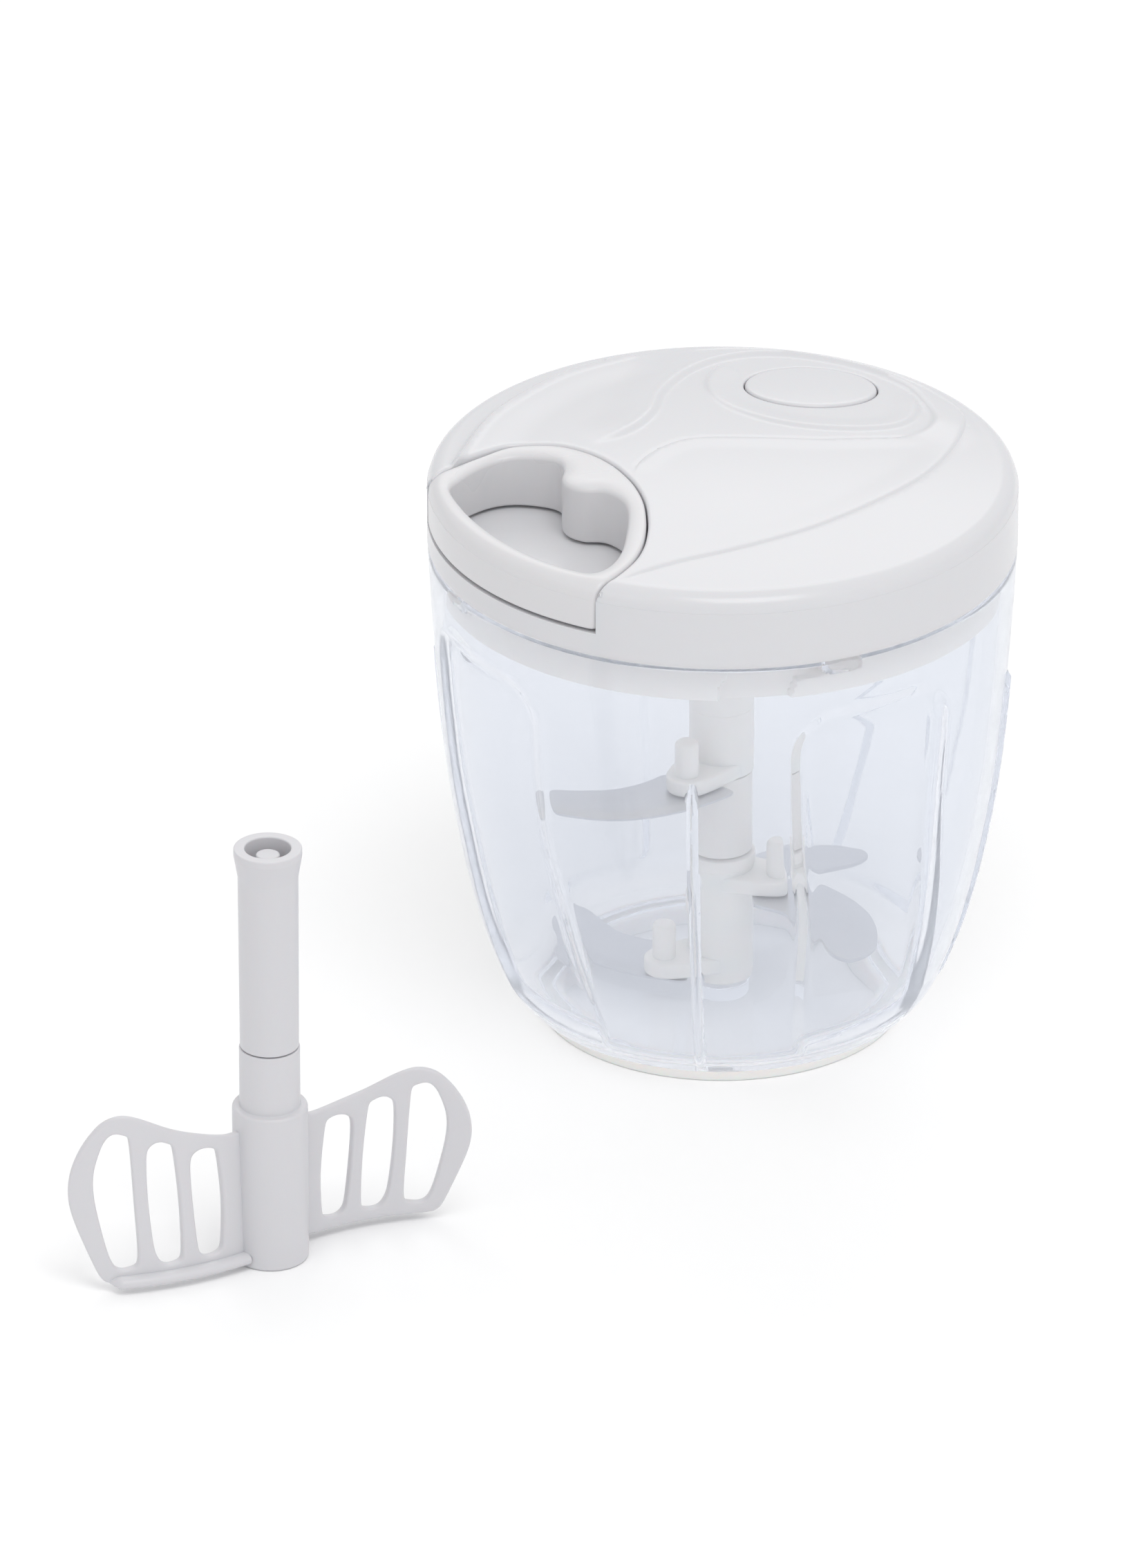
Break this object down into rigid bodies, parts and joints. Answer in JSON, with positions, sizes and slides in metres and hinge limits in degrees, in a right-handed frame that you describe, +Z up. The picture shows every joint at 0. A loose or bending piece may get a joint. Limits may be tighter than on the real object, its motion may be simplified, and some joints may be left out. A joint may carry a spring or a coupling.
{
  "type": "manual food chopper",
  "caption": "Hand-pulled food chopper: clear tapering bowl, domed lid with a pull handle on a cord, stacked curved blades on a shaft, and a loose slotted mixing paddle.",
  "frame": {"origin": "middle of the footprint of the chopper and its paddle, on the table", "axes": "+Z up along the bowl's axis, -Y toward the viewer, +X to the viewer's right"},
  "size_m": [0.204, 0.2028, 0.1334],
  "materials": {
    "clear_plastic": "clear, glossy",
    "white_plastic": "satin gloss",
    "ivory_plastic": "satin",
    "silicone": "matte",
    "blade_steel": "fine brushed",
    "steel": "plain",
    "cord": "braided"
  },
  "bodies": {
    "bowl": {"bowl": "clear_plastic", "base_ring": "silicone", "pivot_pin": "steel"},
    "seal": {"lid_gasket": "silicone"},
    "lid": {"lid_base": "white_plastic", "lid_cover": "white_plastic", "cord_guide": "steel", "drive_bush": "steel", "recoil_spring": "steel", "spring_cover": "white_plastic", "button_spring": "steel", "lid_screw_1": "steel", "lid_screw_2": "steel", "lid_screw_3": "steel"},
    "handle": {"pull_handle": "white_plastic", "cord_knot": "cord", "cord_tail": "cord"},
    "spool": {"cord_spool": "white_plastic", "cord_wound": "cord"},
    "drive": {"drive_shaft": "white_plastic", "clutch_disc": "ivory_plastic", "clutch_pawl_1": "steel", "clutch_pawl_2": "steel", "axle_washer": "steel", "axle_screw": "steel"},
    "button": {"vent_button": "white_plastic", "vent_seal": "silicone"},
    "blades": {"upper_hub": "white_plastic", "middle_tube": "ivory_plastic", "lower_hub": "white_plastic", "blade_upper": "blade_steel", "blade_right": "blade_steel", "blade_rear": "blade_steel", "blade_left": "blade_steel", "peg_upper": "white_plastic", "peg_right": "white_plastic", "peg_rear": "white_plastic", "peg_left": "white_plastic"},
    "paddle": {"paddle_body": "white_plastic", "paddle_tube": "white_plastic"}
  },
  "joints": [
    {"name": "lid_lift", "type": "slide", "parent": "bowl", "child": "seal", "axis": [0, 0, 1], "range_m": [0, 0.14]},
    {"name": "lid_twist", "type": "hinge", "parent": "seal", "child": "lid", "pos_m": [0.03795, 0.03731, 0.112], "axis": [0, 0, 1], "range_deg": [0, 18]},
    {"name": "handle_pull", "type": "slide", "parent": "lid", "child": "handle", "axis": [-0.829, -0.5592, 0], "range_m": [0, 0.25], "stiffness_N_per_m": 12, "springref_m": -0.4, "deforming": ["cord_tail"]},
    {"name": "spool_spin", "type": "hinge", "parent": "lid", "child": "spool", "pos_m": [0.03795, 0.03731, 0.122], "axis": [0, 0, 1], "continuous": true, "deforming": ["recoil_spring"]},
    {"name": "drive_spin", "type": "hinge", "parent": "lid", "child": "drive", "pos_m": [0.03795, 0.03731, 0.11], "axis": [0, 0, 1], "continuous": true},
    {"name": "blade_stay", "type": "slide", "parent": "drive", "child": "blades", "axis": [0, 0, -1], "range_m": [0, 0.14]},
    {"name": "button_press", "type": "slide", "parent": "lid", "child": "button", "axis": [0, 0, -1], "range_m": [0, 0.002], "stiffness_N_per_m": 400, "springref_m": -0.002, "deforming": ["button_spring"]},
    {"name": "paddle_lift", "type": "slide", "parent": "bowl", "child": "paddle", "axis": [0, 0, 1], "range_m": [0, 0.12]}
  ],
  "couplings": [
    {"joint": "spool_spin", "follows": "handle_pull", "rad_per_m": 120.48},
    {"joint": "drive_spin", "follows": "handle_pull", "rad_per_m": 120.48},
    {"joint": "blade_stay", "follows": "lid_lift", "ratio": 1}
  ]
}
